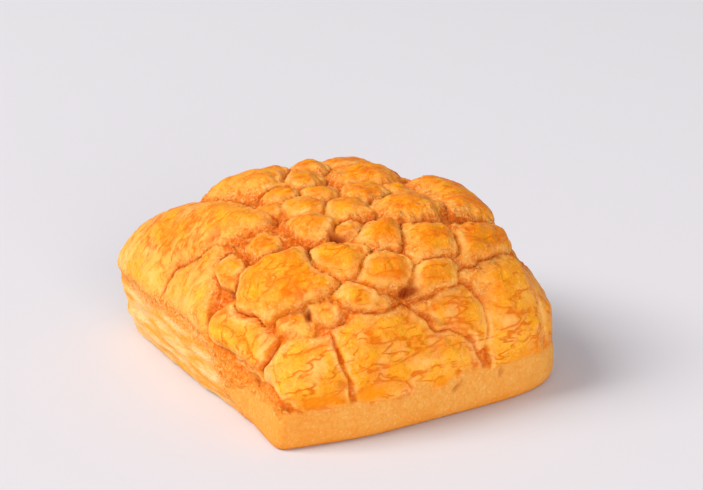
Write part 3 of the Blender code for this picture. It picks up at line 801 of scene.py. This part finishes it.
def band_colour(n, speck):
    """The plain baked band under the topping, browner at the foot."""
    crumb = n.span(n.noise(1.1, 4, 0.65), 0.3, 0.6, 0.35, 1)
    crumb = n.times(crumb, n.span(n.noise(5, 3), 0.3, 0.6, 0.7, 1))
    colour = n.mix(crumb, BAND_BROWN, BAND_GOLD)
    colour = n.tint(colour, "foot", n.span(n.noise(2.5, 4, 0.65), 0.35, 0.65, 0.4, 1), BAND_BROWN)
    return n.mix(n.span(speck, 0.55, 0.7, 0, 0.28), colour, PALE)


def crust_material():
    """The whole bun's material: each kind of surface in its own place, by the fields of the mesh."""
    n = Nodes("baked_crust")
    grain, speck, mottle = n.noise(1.5, 4, 0.6), n.noise(0.8, 2, 0.6), n.noise(2.2, 4, 0.65)
    lines = crease_lines(n)
    bread = bread_colour(n, grain, speck, mottle)
    topping = n.mix(n.field("skin"), bread, topping_colour(n, speck, mottle, lines))
    # the sides of the bumps are paler: partly their crumb, partly a painted highlight
    topping = n.tint(topping, "slope_crumb_and_highlight", n.span(mottle, 0.4, 0.58, 0.0, 0.42), SLOPE_CRUMB_AND_HIGHLIGHT)
    colour = n.mix(n.field("topping"), bread, topping)
    # painted shade in the valleys between the bumps, over their redder crumb
    colour = n.tint(colour, "valley_shade", n.span(grain, 0.4, 0.65, 0.9, 0.45), VALLEY_SHADE_RED)
    # painted shade in the cracks between plates, over their redder crumb
    colour = n.tint(colour, "crevice_shade", n.span(grain, 0.4, 0.65, 0.95, 0.5), CREVICE_SHADE)
    colour = n.mix(n.field("band"), colour, band_colour(n, speck))
    torn = n.mix(n.span(n.noise(2.5, 4, 0.6, (1, 5, 1)), 0.35, 0.65), TORN_GOLD, TORN_PALE)
    colour = n.mix(n.field("torn"), colour, torn)
    n.put(n.mix(n.field("burn"), colour, BURNT), n.shader.inputs["Base Color"])

    smooth_skin = n.times(n.field("topping"), n.field("skin"))
    n.put(n.span(smooth_skin, 0, 1, CRUMB_ROUGHNESS, SKIN_ROUGHNESS), n.shader.inputs["Roughness"])
    rough_share = n.span(smooth_skin, 0, 1, 1.0, 0.35)
    rough_share = n.times(rough_share, n.span(n.field("band"), 0, 1, 1.0, 0.3))
    rough_share = n.times(rough_share, n.span(n.field("crevice_shade"), 0, 1, 1.0, 0.2))
    normal = n.bump(n.times(grain, rough_share), GRAIN_BUMP)
    normal = n.bump(n.times(lines, -1.0), CREASE_BUMP, normal)
    n.put(n.bump(n.times(speck, rough_share), SPECK_BUMP, normal), n.shader.inputs["Normal"])
    n.shader.inputs["Specular IOR Level"].default_value = SHEEN
    n.shader.inputs["Subsurface Weight"].default_value = SINKS_IN
    n.shader.inputs["Subsurface Radius"].default_value = SINKS_BY_COLOUR
    n.shader.inputs["Subsurface Scale"].default_value = SINKS_DEPTH * MILLIMETRE
    return n.material


def make_floor():
    corners = [(x * FLOOR_REACH, y * FLOOR_REACH, 0) for x, y in ((-1, -1), (1, -1), (1, 1), (-1, 1))]
    mesh = bpy.data.meshes.new("floor")
    mesh.from_pydata(corners, [], [(0, 1, 2, 3)])
    floor = bpy.data.objects.new("floor", mesh)
    floor.location.z = cad_box[0][2]
    bpy.context.collection.objects.link(floor)
    n = Nodes("pale_table")
    n.put(FLOOR_COLOUR, n.shader.inputs["Base Color"])
    n.shader.inputs["Roughness"].default_value = FLOOR_ROUGHNESS
    n.shader.inputs["Specular IOR Level"].default_value = FLOOR_SHEEN
    mesh.materials.append(n.material)


def make_lamp(name, place, size, power, colour):
    lamp = bpy.data.lights.new(name, "AREA")
    lamp.size, lamp.energy, lamp.color = size, power, colour
    light = bpy.data.objects.new(name, lamp)
    light.location = place
    light.rotation_euler = (Vector(LAMPS_AIM) - light.location).to_track_quat("-Z", "Y").to_euler()
    bpy.context.collection.objects.link(light)


def make_camera():
    """Stands and looks as the photograph's camera did."""
    lens = bpy.data.cameras.new("camera")
    lens.lens, lens.sensor_width = LENS, SENSOR
    camera = bpy.data.objects.new("camera", lens)
    camera.location = Vector(CAMERA) * MILLIMETRE
    camera.rotation_euler = (math.radians(90 - CAMERA_PITCH), 0, math.radians(CAMERA_YAW))
    bpy.context.collection.objects.link(camera)
    bpy.context.scene.camera = camera


def make_studio():
    make_floor()
    for lamp in LAMPS:
        make_lamp(*lamp)
    world = bpy.data.worlds.new("studio")
    world.use_nodes = True
    back = world.node_tree.nodes["Background"]
    back.inputs["Color"].default_value = (*BACKDROP_COLOUR, 1)
    back.inputs["Strength"].default_value = BACKDROP_STRENGTH
    bpy.context.scene.world = world
    bpy.context.scene.view_settings.view_transform = "Standard"


bun = make_bun()
bun.data.materials.append(crust_material())
make_studio()
make_camera()
